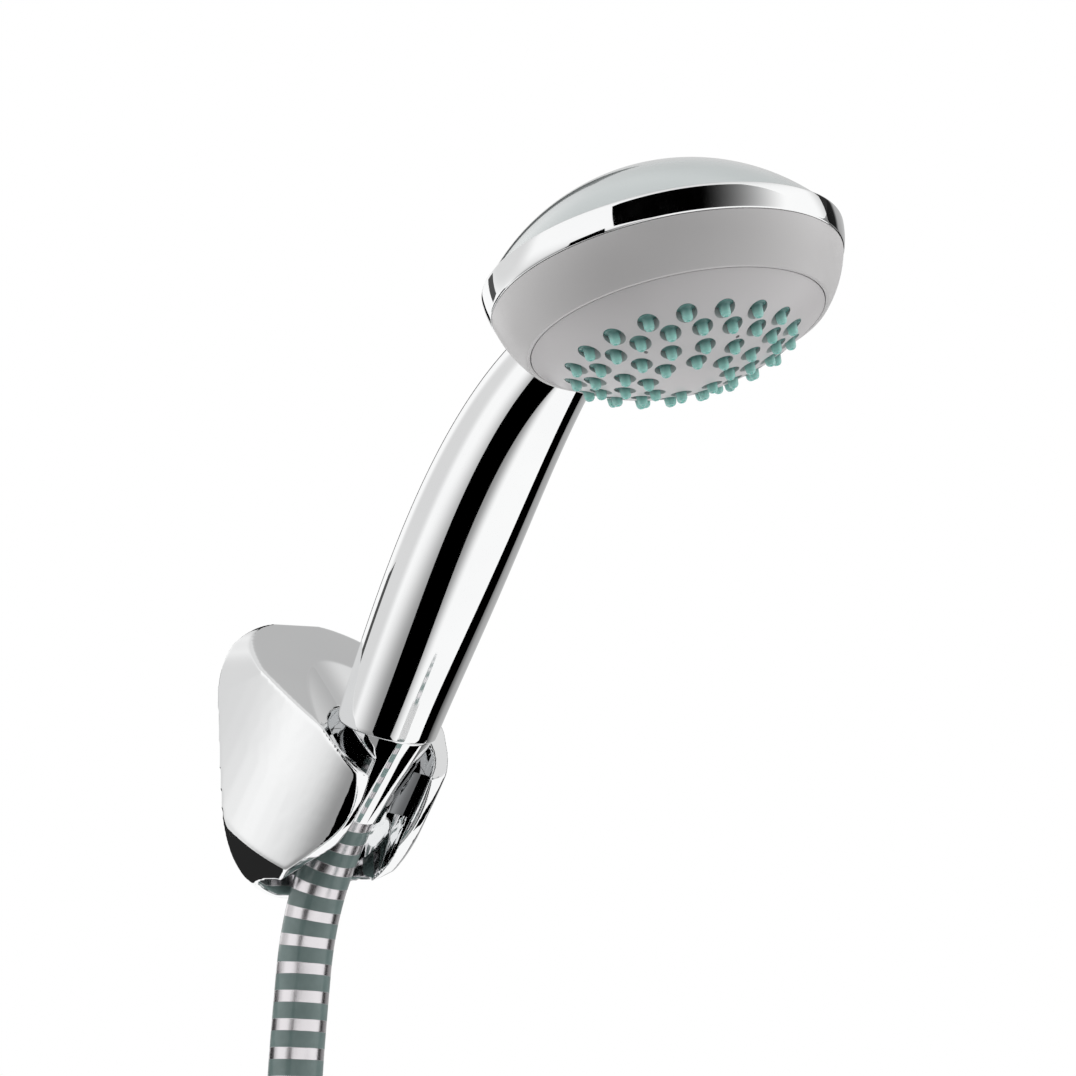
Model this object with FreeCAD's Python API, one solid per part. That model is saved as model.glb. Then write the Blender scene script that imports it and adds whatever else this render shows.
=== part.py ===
import FreeCAD, Part
import math
import os

from FreeCAD import Placement, Rotation, Vector

# Hand shower in its wall holder, with its hose. Millimetres, +Z up.
# The wall is the plane Y = 0 and the shower reaches out towards -Y; the origin is on the wall,
# behind the middle of the holder.

# Seat: the nut's axis leans out from the wall, and seat heights run up along it from the nut's foot
seat_lean = 37.0
nut_foot_y = -24.7
nut_foot_z = -12.4
turning_gap = 0.3
slip_gap = 0.1
fit_gap = 0.15
loose_gap = 0.2

# Conical hose nut
nut_foot_r = 8.4
nut_top_r = 11.7
nut_length = 27.1
thread_r = 10.0
nut_edge = 0.3
nut_shoulder_up = 14.0
washer_t = 2.0
filter_bore_r = 4.0
filter_t = 0.6

# Holder: half outline at the wall, from its top to its foot, then the side view and the arms' plan
holder_outline = ((0, 35.5), (10.9, 33.9), (19.9, 28.8), (24.7, 4.0), (23.1, -14.0), (18.7, -27.0),
                  (11.2, -33.8), (0, -36.0))
holder_top_up = 23.0
holder_nose_y = -46.2
holder_chin = (-42.3, -11.5)
holder_throat = (-31.5, -22.5)
holder_jaw = (-17.0, -30.3)
arm_r = 18.2
arm_outline = ((13.2, -12.9), (19.0, -1.5), (22.4, 14.0), (24.4, 33.0), (25.4, 54.0))
bore_r = 14.8
slot_half_w = 9.7
back_skin = 3.2
scoop_r = 44.0
scoop_depth = 5.0
scoop_rise = 9.0
liner_top_up = 13.5
liner_foot_up = 0.5
liner_lead_up = 3.0
liner_lead_in = 0.8
liner_open_deg = 140.0

# Wall plate
plate_w = 30.0
plate_low_z = -12.0
plate_high_z = 28.0
plate_t = 4.0
plate_corner_r = 5.0
plate_screw_low_z = -5.0
plate_screw_high_z = 21.0
screw_hole_r = 2.25
screw_head_r = 4.5
screw_head_room = 3.0

# Head: its own frame has +Z out of the dome, +Y towards the handle, origin at the ring's front edge
head_y = -145.0
head_z = 106.6
head_tilt = 18.0
ring_front_r = 42.3
ring_rear_r = 43.4
ring_h = 6.0
ring_bulge = 0.25
ring_wall = 2.9
dome_r = 42.5
dome_h = 21.5
dome_wall = 2.0
shell_front_r = 36.1
shell_h = 11.6
shell_bulge = 0.82
parting_gap = 0.15
disc_h = 12.6
disc_wall = 3.4
disc_skirt = 3.2
mat_margin = 3.4
distributor_hole_r = 1.4
shell_lip = 0.9
shell_step = 0.2
skirt_wall = 1.8
skirt_meet_z = 2.2
dome_fillet_rise = 1.6
chamber_floor = -1.8
chamber_t = 2.5
chamber_rim_h = 4.5
chamber_rim_t = 2.0

# Nozzles: radius of each ring on the disc, how many, and the angle of its first one
nozzle_rings = ((26.0, 18, 1.0), (21.5, 18, 10.0), (15.4, 12, 5.0), (9.8, 8, -30.0))
nozzle_root_r = 1.5
nozzle_tip_r = 1.2
nozzle_proud = 2.6
cup_r = 2.5
cup_depth = 1.6
distributor_z = -10.3
distributor_t = 1.2
seal_r = 0.8
mat_t = 1.2
pin_hole_r = 0.5
pin_hole_depth = 1.0
pin_hole_ring_r = 18.3
pin_hole_angles = (-72.0, 0.0)

# Handle: centre line in the plane X = 0, and the radius at each of its points
handle_line = ((-34.6, 0.0), (-43.2, 14.6), (-54.0, 31.6), (-66.2, 49.6), (-78.4, 66.4), (-90.4, 80.4),
               (-101.4, 90.4), (-111.5, 97.4))
handle_radii = (12.5, 13.1, 13.9, 14.4, 14.0, 12.9, 11.4, 9.6)
handle_wall = 2.4
handle_end_up = 23.8
handle_end_skew = 16.0
handle_socket_up = nut_length + loose_gap
tube_r = 6.0
tube_bore_r = 4.4
neck_room_r = 7.0
neck_room_start = 26.0
neck_room_length = 24.0
spigot_start = 19.0
spigot_wall = 1.5
spigot_end = 43.0
spigot_z = -0.8
connector_bore_r = 5.0
collar_t = 5.0
collar_room = 1.0
stub_r = 8.0
stub_length = 17.0
tube_socket = 6.0
limiter_bore_r = 1.2
limiter_rise = 2.0
limiter_length = 4.0

# Hose: 14 mm across; its route runs down from the nut, then its spare length is a coil of two turns
hose_r = 7.0
hose_first_run = 13.5
hose_points = ((-1.3, -11.9, -34.2), (-2.9, -9.4, -47.5), (-4.3, -9.3, -61.5),
               (-5.9, -9.0, -80.0), (-7.4, -8.8, -110.0))
ferrule_r = 7.2
ferrule_length = 13.2
barb_r = 4.6
barb_bore_r = 3.4
flange_r = 8.7
flange_t = 2.6
bend_share = 0.45
coil_r = 74.0
coil_wall_gap = 1.8
coil_turn_gap = 14.8
coil_centre_z = -164.0
coil_tail = 56.0
coil_edge_r = 5.0
tie_t = 1.2
tie_w = 12.0
tie_angle = 200.0

# Outlet nut at the hose's far end
outlet_r = 12.6
outlet_shoulder_t = 2.4
outlet_slope = 1.6
outlet_edge = 0.6
outlet_washer_bore_r = 4.4
outlet_thread_r = 10.3
outlet_thread_length = 9.0
outlet_collar_r = 11.0

x_axis = Vector(1, 0, 0)
y_axis = Vector(0, 1, 0)
z_axis = Vector(0, 0, 1)
far = 200.0
over = 1.0
seat = Placement(Vector(0, nut_foot_y, nut_foot_z), Rotation(x_axis, seat_lean))
head = Placement(Vector(0, head_y, head_z), Rotation(x_axis, -head_tilt))


def placed(shape, frame):
    copy = shape.copy()
    copy.Placement = frame.multiply(copy.Placement)
    return copy


def path(start, *steps):
    """Edges from start: a step is the next corner, or a pair (point on the arc, its end)."""
    edges = []
    here = Vector(*start)
    for step in steps:
        if isinstance(step[0], tuple):
            through, end = Vector(*step[0]), Vector(*step[1])
            edges.append(Part.Arc(here, through, end).toShape())
        else:
            end = Vector(*step)
            edges.append(Part.LineSegment(here, end).toShape())
        here = end
    return Part.Wire(edges)


def spun(start, *steps):
    """Solid of revolution about Z from a closed profile of (radius, height) corners."""
    def lift(point):
        return (point[0], 0.0, point[1])
    lifted = [tuple(lift(p) for p in s) if isinstance(s[0], tuple) else lift(s) for s in steps]
    wire = path(lift(start), *lifted)
    return Part.Face(wire).revolve(Vector(), z_axis, 360)


def tube(outer_r, inner_r, low, high):
    """Straight tube about Z."""
    body = Part.makeCylinder(outer_r, high - low, Vector(0, 0, low))
    return body.cut(Part.makeCylinder(inner_r, high - low, Vector(0, 0, low)))


def bowed(a, b, bulge):
    """Middle point of an arc from a to b that stands off its chord by bulge."""
    run = (b[0] - a[0], b[1] - a[1])
    length = math.hypot(*run)
    return ((a[0] + b[0]) / 2 + run[1] / length * bulge, (a[1] + b[1]) / 2 - run[0] / length * bulge)


def cap_height(base_r, height, r):
    """Height, over its base, of a spherical cap at the radius r."""
    ball = (base_r ** 2 + height ** 2) / (2 * height)
    return math.sqrt(ball ** 2 - r ** 2) - (ball - height)


def nut_r(up):
    return nut_foot_r + (nut_top_r - nut_foot_r) * up / nut_length


# Holder

def whole_outline(half):
    return list(half) + [(-x, z) for x, z in reversed(half) if x != 0]


def holder_outside():
    """Three prisms in common: seen from the side, along the nut's axis and from the front."""
    lean = math.radians(seat_lean)
    top = holder_top_up - nut_foot_y * math.sin(lean) + nut_foot_z * math.cos(lean)
    nose_z = (top + holder_nose_y * math.sin(lean)) / math.cos(lean)
    foot_z = holder_outline[-1][1]
    side = path((-far / 4, 0, foot_z), (-far / 4, 0, top / math.cos(lean)),
                (-far / 4, holder_nose_y, nose_z),
                ((-far / 4, *holder_chin), (-far / 4, *holder_throat)),
                ((-far / 4, *holder_jaw), (-far / 4, 0, foot_z)))
    side = Part.Face(side).extrude(Vector(far / 2, 0, 0))
    arms = Part.BSplineCurve()
    right_arm = [(x, y) for x, y in reversed(arm_outline)]
    left_arm = [(-x, y) for x, y in arm_outline]
    arms.interpolate([Vector(x, y, -far / 2) for x, y in right_arm + [(0, -arm_r)] + left_arm])
    root = Part.LineSegment(Vector(*left_arm[-1], -far / 2), Vector(*right_arm[0], -far / 2))
    plan = Part.Face(Part.Wire([arms.toShape(), root.toShape()])).extrude(Vector(0, 0, far))
    plan = placed(plan, seat)
    curve = Part.BSplineCurve()
    curve.interpolate([Vector(x, 0, z) for x, z in whole_outline(holder_outline)], PeriodicFlag=True)
    front = Part.Face(Part.Wire(curve.toShape())).extrude(Vector(0, -far / 2, 0))
    return side.common(plan).common(front)


def bore_cut():
    """Room for the nut and hose: a bore along the seat's axis that stops short of the wall."""
    bore = Part.makeCylinder(bore_r, far, Vector(0, 0, -far / 2))
    slot = Part.makeBox(2 * slot_half_w, far / 2, far, Vector(-slot_half_w, -far / 2, -far / 2))
    room = placed(bore.fuse(slot), seat)
    keep = Part.makeBox(far, far, 2 * far, Vector(-far / 2, -far - back_skin, -far))
    return room.common(keep)


def scoop_cut():
    """Shallow trough in the top, deepest at the nut and running out at the wall."""
    trough = Part.makeCylinder(scoop_r, far, Vector(0, 0, -far / 2), z_axis)
    trough.rotate(Vector(), x_axis, -90 + scoop_rise)
    trough.translate(Vector(0, 0, holder_top_up - scoop_depth + scoop_r / math.cos(math.radians(scoop_rise))))
    return placed(trough, seat)


def plate_outline(grow, depth):
    """Rounded block against the wall."""
    low, high = plate_low_z - grow, plate_high_z + grow
    block = Part.makeBox(plate_w + 2 * grow, depth, high - low, Vector(-plate_w / 2 - grow, -depth, low))
    upright = [e for e in block.Edges if abs(e.tangentAt(e.FirstParameter).y) > 0.9]
    return block.makeFillet(plate_corner_r + grow, upright)


def plate_holes(r, start, depth):
    holes = [Part.makeCylinder(r, depth, Vector(0, start, z), y_axis.negative())
             for z in (plate_screw_low_z, plate_screw_high_z)]
    return holes[0].fuse(holes[1])


def wall_plate():
    return plate_outline(0, plate_t).cut(plate_holes(screw_hole_r, over, plate_t + 2 * over))


def holder_shell():
    body = holder_outside().cut(bore_cut()).cut(scoop_cut())
    body = body.cut(plate_outline(slip_gap, plate_t))
    return body.cut(plate_holes(screw_head_r, -plate_t + over, screw_head_room + over))


def cradle_liner():
    """Soft conical bed of the nut, open to the front like the holder."""
    lip_up = liner_foot_up + liner_lead_up
    lip_r = nut_r(liner_foot_up) + turning_gap + liner_lead_in
    inner_low = nut_r(lip_up) + turning_gap
    inner_high = nut_r(liner_top_up) + turning_gap
    outer = bore_r - slip_gap
    ring = spun((lip_r, liner_foot_up), (outer, liner_foot_up), (outer, liner_top_up),
                (inner_high, liner_top_up), (inner_low, lip_up), (lip_r, liner_foot_up))
    half = math.radians(liner_open_deg / 2)
    reach = 2 * bore_r
    wedge = path((0, 0, 0), (-reach * math.sin(half), -reach * math.cos(half), 0), (0, -2 * reach, 0),
                 (reach * math.sin(half), -reach * math.cos(half), 0), (0, 0, 0))
    wedge = Part.Face(wedge).extrude(Vector(0, 0, far / 2))
    return placed(ring.cut(wedge), seat)


# Nut, inlet and the hose's upper end

def cone_nut():
    thread_foot = connector_foot() - slip_gap
    chest_r = flange_r + turning_gap
    foot_bore = ferrule_r + turning_gap
    rim = nut_length - nut_edge
    body = spun((foot_bore, 0), (nut_foot_r - nut_edge, 0), (nut_foot_r, nut_edge), (nut_r(rim), rim),
                (nut_top_r - nut_edge, nut_length), (thread_r, nut_length), (thread_r, thread_foot),
                (chest_r, thread_foot), (chest_r, nut_shoulder_up), (foot_bore, nut_shoulder_up),
                (foot_bore, 0))
    return placed(body, seat)


def flange_foot():
    return nut_shoulder_up + turning_gap


def washer_foot():
    return flange_foot() + flange_t + turning_gap


def connector_foot():
    return washer_foot() + washer_t


def filter_washer():
    ring = tube(flange_r - loose_gap, filter_bore_r, washer_foot(), connector_foot())
    mesh = Part.makeCylinder(filter_bore_r, filter_t, Vector(0, 0, connector_foot() - filter_t))
    return placed(ring.fuse(mesh).removeSplitter(), seat)


def inlet_connector():
    """Threaded stub, with a collar that closes the handle's lower end."""
    collar_r = handle_radii[0] - handle_wall - collar_room
    collar_top = handle_socket_up + collar_t
    top = handle_socket_up + stub_length
    socket = top - tube_socket
    body = spun((connector_bore_r, connector_foot()), (thread_r - slip_gap, connector_foot()),
                (thread_r - slip_gap, handle_socket_up), (collar_r, handle_socket_up), (collar_r, collar_top),
                (stub_r, collar_top), (stub_r, top), (tube_r + slip_gap, top), (tube_r + slip_gap, socket),
                (connector_bore_r, socket), (connector_bore_r, connector_foot()))
    return placed(body, seat)


def flow_limiter():
    foot = connector_foot() + limiter_rise
    body = tube(connector_bore_r - slip_gap, limiter_bore_r, foot, foot + limiter_length)
    return placed(body, seat)


def hose_ferrule(foot):
    return tube(ferrule_r, barb_r + slip_gap, foot, foot + ferrule_length)


def hose_barb(foot):
    """Tail inside the crimped sleeve, with the flange that the nut pulls up."""
    shoulder = foot + ferrule_length
    return spun((barb_bore_r, foot), (barb_r, foot), (barb_r, shoulder), (flange_r, shoulder),
                (flange_r, shoulder + flange_t), (barb_bore_r, shoulder + flange_t), (barb_bore_r, foot))


hose_top_up = flange_foot() - ferrule_length


# Handle

def handle_curve():
    curve = Part.BSplineCurve()
    curve.interpolate([Vector(0, y, z) for y, z in handle_line])
    return curve


def line_loft(line, radii):
    """Round bar along points of the plane X = 0, with a radius at each."""
    curve = handle_curve()
    rings = []
    for (y, z), r in zip(line, radii):
        at = Vector(0, y, z)
        along = curve.tangent(curve.parameter(at))[0]
        rings.append(Part.Wire(Part.makeCircle(r, at, along)))
    return Part.makeLoft(rings, True, False)


def handle_loft(inset):
    return line_loft(handle_line, [r - inset for r in handle_radii])


def constant_loft(r):
    return line_loft(handle_line[1:], [r] * len(handle_line[1:]))


def below_handle():
    """Everything under the handle's skew lower end."""
    block = Part.makeBox(far, far, far, Vector(-far / 2, -far / 2, -far))
    block.rotate(Vector(), x_axis, -handle_end_skew)
    block.translate(Vector(0, 0, handle_end_up))
    return placed(block, seat)


def head_envelope():
    """The head's outside with a parting gap, a little inside the ring, for cutting the neck to it."""
    low = (shell_front_r + parting_gap, -shell_h)
    high = (ring_front_r + parting_gap, 0)
    inside = ring_front_r - ring_wall / 2
    base_r = dome_r + parting_gap
    mid_r = base_r / 2
    foot = ring_h + slip_gap
    dome_mid = (mid_r, foot + cap_height(base_r, dome_h + parting_gap, mid_r))
    body = spun((0, -shell_h), low, (bowed(low, high, shell_bulge), high), (inside, 0), (inside, foot),
                (base_r, foot), (dome_mid, (0, foot + dome_h + parting_gap)), (0, -shell_h))
    return placed(body, head)


def neck_passage():
    hole = Part.makeCylinder(neck_room_r, neck_room_length, Vector(0, neck_room_start, spigot_z), y_axis)
    return placed(hole, head)


def ring_band():
    inner = ring_rear_r - ring_wall
    mid = bowed((ring_front_r, 0), (ring_rear_r, ring_h), ring_bulge)
    band = spun((inner, 0), (ring_front_r, 0), (mid, (ring_rear_r, ring_h)), (inner, ring_h), (inner, 0))
    return placed(band, head)


def handle_shell():
    """Handle and head ring, one plated moulding."""
    bar = handle_loft(0).cut(head_envelope()).cut(below_handle())
    nut_room = Part.makeCylinder(nut_top_r + fit_gap, far, Vector(0, 0, handle_socket_up - far))
    return bar.fuse(ring_band()).cut(handle_loft(handle_wall)).cut(placed(nut_room, seat))


def water_tube():
    end = Part.makeBox(far, far, far, Vector(-far / 2, -far + spigot_end, -far / 2))
    whole = constant_loft(tube_r).cut(constant_loft(tube_bore_r))
    foot = handle_socket_up + stub_length
    start = Part.makeBox(far, far, far, Vector(-far / 2, -far / 2, foot - far))
    return whole.cut(placed(end, head)).cut(placed(start, seat))


# Head

def rear_dome():
    base = ring_h + slip_gap
    mid_r = dome_r / 2
    outer_mid = (mid_r, base + cap_height(dome_r, dome_h, mid_r))
    inner_r = dome_r - dome_wall
    inner_mid = (mid_r, base + cap_height(inner_r, dome_h - dome_wall, mid_r))
    skirt_r = ring_rear_r - ring_wall - slip_gap
    skirt_foot = skirt_meet_z + loose_gap
    body = spun((skirt_r, base), (dome_r, base), (outer_mid, (0, base + dome_h)),
                (0, base + dome_h - dome_wall), (inner_mid, (inner_r - skirt_wall, base + dome_fillet_rise)),
                (skirt_r - skirt_wall, base), (skirt_r - skirt_wall, skirt_foot), (skirt_r, skirt_foot),
                (skirt_r, base))
    return placed(body, head).cut(neck_passage())


def front_shell():
    top_z = -slip_gap
    top_r = ring_front_r - shell_step
    outer_mid = bowed((shell_front_r, -shell_h), (top_r, top_z), shell_bulge)
    skirt_r = ring_rear_r - ring_wall - slip_gap
    inner_top = skirt_r - skirt_wall
    lip_r = shell_front_r - shell_lip
    lip_top = -shell_h + disc_skirt + turning_gap
    body = spun((shell_front_r, -shell_h), (outer_mid, (top_r, top_z)), (skirt_r, top_z),
                (skirt_r, skirt_meet_z), (inner_top, skirt_meet_z), (inner_top, chamber_floor - turning_gap),
                (lip_r, lip_top), (lip_r, -shell_h), (shell_front_r, -shell_h))
    return placed(body, head).cut(neck_passage())


def ring_places():
    """Centre of every nozzle on the disc, as (x, y, radius)."""
    places = []
    for r, count, first in nozzle_rings:
        for i in range(count):
            angle = math.radians(first + 360 * i / count)
            places.append((r * math.sin(angle), -r * math.cos(angle), r))
    return places


def disc_r():
    return shell_front_r - shell_lip - parting_gap


def disc_z(r):
    """Height of the disc's outside at the radius r."""
    return -shell_h - cap_height(disc_r(), disc_h, r)


def capped_rod(r, rise):
    """Cylinder of the radius r, closed below by the disc's round face moved up by rise."""
    # The ball's poles lie along X, off the closing face
    ball_r = (disc_r() ** 2 + disc_h ** 2) / (2 * disc_h)
    ball = Part.makeSphere(ball_r, Vector(0, 0, disc_z(0) + ball_r + rise), x_axis)
    rod = Part.makeCylinder(r, disc_h + disc_skirt, Vector(0, 0, disc_z(0) + rise))
    return rod.common(ball)


def spray_disc():
    body = capped_rod(disc_r(), 0).cut(capped_rod(disc_r() - disc_wall, disc_wall))
    hole_r = nozzle_root_r + slip_gap
    reach = 2 * disc_wall
    drill = spun((0, -reach), (cup_r, -reach), (cup_r, cup_depth), (hole_r, cup_depth), (hole_r, reach),
                 (0, reach), (0, -reach))
    cuts = []
    for x, y, r in ring_places():
        cuts.append(drill.translated(Vector(x, y, disc_z(r))))
    for angle in pin_hole_angles:
        turn = math.radians(angle)
        floor = disc_z(pin_hole_ring_r) - pin_hole_depth
        spot = Vector(pin_hole_ring_r * math.sin(turn), -pin_hole_ring_r * math.cos(turn), floor)
        cuts.append(Part.makeCylinder(pin_hole_r, 2 * pin_hole_depth, spot))
    return placed(body.cut(cuts), head)


def nozzle_mat():
    top = disc_wall + slip_gap
    edge_r = nozzle_rings[0][0] + mat_margin
    above = Part.makeCylinder(far, far, Vector(0, 0, disc_z(edge_r) + top + mat_t))
    body = capped_rod(edge_r, top).cut([capped_rod(edge_r - slip_gap, top + mat_t), above])
    teats = []
    for x, y, r in ring_places():
        root = disc_z(r) + top + mat_t / 2
        tip = disc_z(r) - nozzle_proud
        cone = Part.makeCone(nozzle_root_r, nozzle_tip_r, root - tip, Vector(x, y, root), z_axis.negative())
        teats.append(cone)
    whole = body.fuse(teats)
    return placed(whole, head)


def head_chamber():
    """Water room of the head: a floor, a rim and the spigot of the water tube."""
    rim_r = ring_rear_r - ring_wall - slip_gap - skirt_wall - loose_gap
    floor = chamber_floor
    seat_r = disc_r() - disc_wall - loose_gap
    inner_r = rim_r - chamber_rim_t
    body = spun((0, floor), (rim_r, floor), (rim_r, floor + chamber_rim_h), (inner_r, floor + chamber_rim_h),
                (inner_r, floor + chamber_t), (0, floor + chamber_t), (0, floor))
    wall = tube(seat_r, seat_r - chamber_rim_t, distributor_z + distributor_t + slip_gap, floor)
    spigot = Part.makeCylinder(tube_r, spigot_end - spigot_start, Vector(0, spigot_start, spigot_z), y_axis)
    bore_start = spigot_start + tube_bore_r + spigot_wall
    bore = Part.makeCylinder(tube_bore_r, spigot_end, Vector(0, bore_start, spigot_z), y_axis)
    drop = Part.makeCylinder(tube_bore_r, far, Vector(0, bore_start, spigot_z), z_axis.negative())
    return placed(body.fuse([wall, spigot]).cut([bore, drop]), head)


def distributor_plate():
    plate_r = disc_r() - disc_wall - loose_gap
    plate = Part.makeCylinder(plate_r, distributor_t, Vector(0, 0, distributor_z))
    drill = Part.makeCylinder(distributor_hole_r, distributor_t + 2 * over, Vector(0, 0, distributor_z - over))
    holes = [drill.translated(Vector(x, y, 0)) for x, y, r in ring_places()]
    return placed(plate.cut(holes), head)


def chamber_seal():
    r = disc_r() - disc_wall + seal_r + slip_gap
    return placed(Part.makeTorus(r, seal_r, Vector(0, 0, -shell_h + disc_skirt + seal_r)), head)


# Hose

def seat_point(up):
    return seat.multVec(Vector(0, 0, up))


def hose_route():
    """Corners of the hose from the nut to where the coil takes over."""
    coil_back = coil_centre_y() + coil_r
    side = -coil_turn_gap / 2
    corners = [seat_point(hose_top_up), seat_point(hose_top_up - hose_first_run)]
    corners += [Vector(*p) for p in hose_points]
    corners += [Vector(side, coil_back, coil_centre_z)]
    return corners


def coil_centre_y():
    return -hose_r - coil_wall_gap - coil_r


def hose_wire(corners):
    """Straight runs joined by arcs as large as the runs allow."""
    edges = []
    here = corners[0]
    radii = []
    for before, corner, after in zip(corners, corners[1:], corners[2:]):
        inward = (before - corner).normalize()
        onward = (after - corner).normalize()
        turn = math.pi - inward.getAngle(onward)
        shorter = min((before - corner).Length, (after - corner).Length)
        r = bend_share * shorter / math.tan(turn / 2)
        trim = r * math.tan(turn / 2)
        enter = corner + inward * trim
        leave = corner + onward * trim
        toward = (inward + onward).normalize()
        middle = corner + toward * (r / math.cos(turn / 2) - r)
        edges.append(Part.LineSegment(here, enter).toShape())
        edges.append(Part.Arc(enter, middle, leave).toShape())
        here = leave
        radii.append(r)
    edges.append(Part.LineSegment(here, corners[-1]).toShape())
    print("hose radii", [round(r, 1) for r in radii])
    return Part.Wire(edges)


def hose():
    corners = hose_route()
    wire = hose_wire(corners)
    along = (corners[1] - corners[0]).normalize()
    section = Part.Wire(Part.makeCircle(hose_r, corners[0], along))
    body = wire.makePipeShell([section], True, True)
    area = math.pi * hose_r ** 2
    print("hose length %.1f, volume over section %.1f" % (wire.Length, body.Volume / area))
    return body


def coil_frame():
    """Coil's own frame: its axis lies along X."""
    return Placement(Vector(0, coil_centre_y(), coil_centre_z), Rotation(y_axis, 90))


def hose_coil():
    half = coil_turn_gap / 2 + hose_r
    ring = tube(coil_r + hose_r, coil_r - hose_r, -half, half)
    rims = [e for e in ring.Edges if e.isClosed()]
    return placed(ring.makeFillet(coil_edge_r, rims), coil_frame())


def coil_tie():
    """Strap round both turns."""
    half = coil_turn_gap / 2 + hose_r + slip_gap
    outer = coil_r + hose_r + slip_gap
    inner = coil_r - hose_r - slip_gap
    band = tube(outer + tie_t, inner - tie_t, -half - tie_t, half + tie_t)
    band = band.cut(tube(outer, inner, -half, half))
    span = Part.makeBox(far, tie_w, far, Vector(0, -tie_w / 2, -far / 2))
    strap = band.common(span)
    strap.rotate(Vector(), z_axis, tie_angle)
    return placed(strap, coil_frame())


def tail_frame():
    """Frame at the end of the hose: +Z leads on out of it, away from the coil."""
    start = Vector(coil_turn_gap / 2, coil_centre_y() - coil_tail, coil_centre_z - coil_r)
    return Placement(start, Rotation(x_axis, 90))


def hose_tail():
    body = Part.makeCylinder(hose_r, coil_tail, Vector(), z_axis.negative())
    return placed(body, tail_frame())


def outlet_nut():
    shoulder = ferrule_length - turning_gap - outlet_shoulder_t
    chest_r = flange_r + turning_gap
    washer_foot_up = ferrule_length + flange_t + turning_gap
    thread_foot = washer_foot_up + washer_t
    top = thread_foot + outlet_thread_length
    bore = ferrule_r + turning_gap
    room_r = outlet_thread_r + turning_gap
    ledge = ferrule_length - turning_gap
    body = spun((bore, shoulder), (outlet_collar_r, shoulder), (outlet_r, shoulder + outlet_slope),
                (outlet_r, top - outlet_edge),
                (outlet_r - outlet_edge, top), (outlet_thread_r, top), (outlet_thread_r, thread_foot),
                (room_r, thread_foot), (room_r, washer_foot_up), (chest_r, washer_foot_up), (chest_r, ledge),
                (bore, ledge), (bore, shoulder))
    return placed(body, tail_frame())


def outlet_washer():
    foot = ferrule_length + flange_t + turning_gap
    ring = tube(outlet_thread_r - loose_gap, outlet_washer_bore_r, foot, foot + washer_t)
    return placed(ring, tail_frame())


parts = {}


def main():
    os.makedirs("parts", exist_ok=True)
    parts["wall_plate"] = wall_plate()
    parts["holder_shell"] = holder_shell()
    parts["cradle_liner"] = cradle_liner()
    parts["cone_nut"] = cone_nut()
    parts["filter_washer"] = filter_washer()
    parts["inlet_connector"] = inlet_connector()
    parts["flow_limiter"] = flow_limiter()
    parts["handle_shell"] = handle_shell()
    parts["water_tube"] = water_tube()
    parts["rear_dome"] = rear_dome()
    parts["front_shell"] = front_shell()
    parts["spray_disc"] = spray_disc()
    parts["nozzle_mat"] = nozzle_mat()
    parts["head_chamber"] = head_chamber()
    parts["distributor_plate"] = distributor_plate()
    parts["chamber_seal"] = chamber_seal()
    parts["hose_ferrule_top"] = placed(hose_ferrule(hose_top_up), seat)
    parts["hose_barb_top"] = placed(hose_barb(hose_top_up), seat)
    parts["hose"] = hose()
    parts["hose_coil"] = hose_coil()
    parts["coil_tie"] = coil_tie()
    parts["hose_tail"] = hose_tail()
    parts["hose_ferrule_end"] = placed(hose_ferrule(0), tail_frame())
    parts["hose_barb_end"] = placed(hose_barb(0), tail_frame())
    parts["outlet_nut"] = outlet_nut()
    parts["outlet_washer"] = outlet_washer()
    for name, shape in parts.items():
        print(name, shape.ShapeType, len(shape.Solids), shape.isValid(), round(shape.Volume))
        shape.exportStep("parts/%s.step" % name)


main()
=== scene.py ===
# Hand shower resting in its conical wall holder, with the banded hose hanging below it.
import math
import bmesh
import bpy
import numpy as np
from mathutils import Matrix, Vector


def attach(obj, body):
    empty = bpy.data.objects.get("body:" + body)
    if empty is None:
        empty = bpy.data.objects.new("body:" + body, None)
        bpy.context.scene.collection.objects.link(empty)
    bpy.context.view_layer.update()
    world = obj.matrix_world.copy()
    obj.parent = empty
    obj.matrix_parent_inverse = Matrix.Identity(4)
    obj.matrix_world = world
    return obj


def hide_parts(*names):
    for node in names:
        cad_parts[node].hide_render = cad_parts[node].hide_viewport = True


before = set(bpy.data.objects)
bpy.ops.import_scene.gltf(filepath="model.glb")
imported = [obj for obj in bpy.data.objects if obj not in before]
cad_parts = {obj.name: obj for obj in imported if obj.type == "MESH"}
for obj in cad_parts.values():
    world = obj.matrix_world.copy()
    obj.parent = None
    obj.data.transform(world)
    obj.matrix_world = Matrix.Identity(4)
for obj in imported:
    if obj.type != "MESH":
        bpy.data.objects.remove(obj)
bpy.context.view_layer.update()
scene = bpy.context.scene
mm = 0.001

# Places shared by several pieces, in millimetres and degrees
seat = {"foot": (0.0, -24.7, -12.4), "lean": 37.0}  # axis of the conical nut
head = {"centre": (0.0, -145.0, 106.6), "tilt": -18.0}  # +Z out of the dome
mergeGap = {"own": 1e-7, "node": 2e-6}  # metres within which points are merged
axisR = 0.0001  # radius that stands for the axis of a turned piece
cornerShare = 0.45  # most of a side that a rounded corner may take
seatPlace = Matrix.Translation(Vector(seat["foot"])) @ Matrix.Rotation(math.radians(seat["lean"]), 4, "X")
headPlace = Matrix.Translation(Vector(head["centre"])) @ Matrix.Rotation(math.radians(head["tilt"]), 4, "X")


def linkMesh(name, mesh):
    piece = bpy.data.objects.new(name, mesh)
    scene.collection.objects.link(piece)
    return piece


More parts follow.
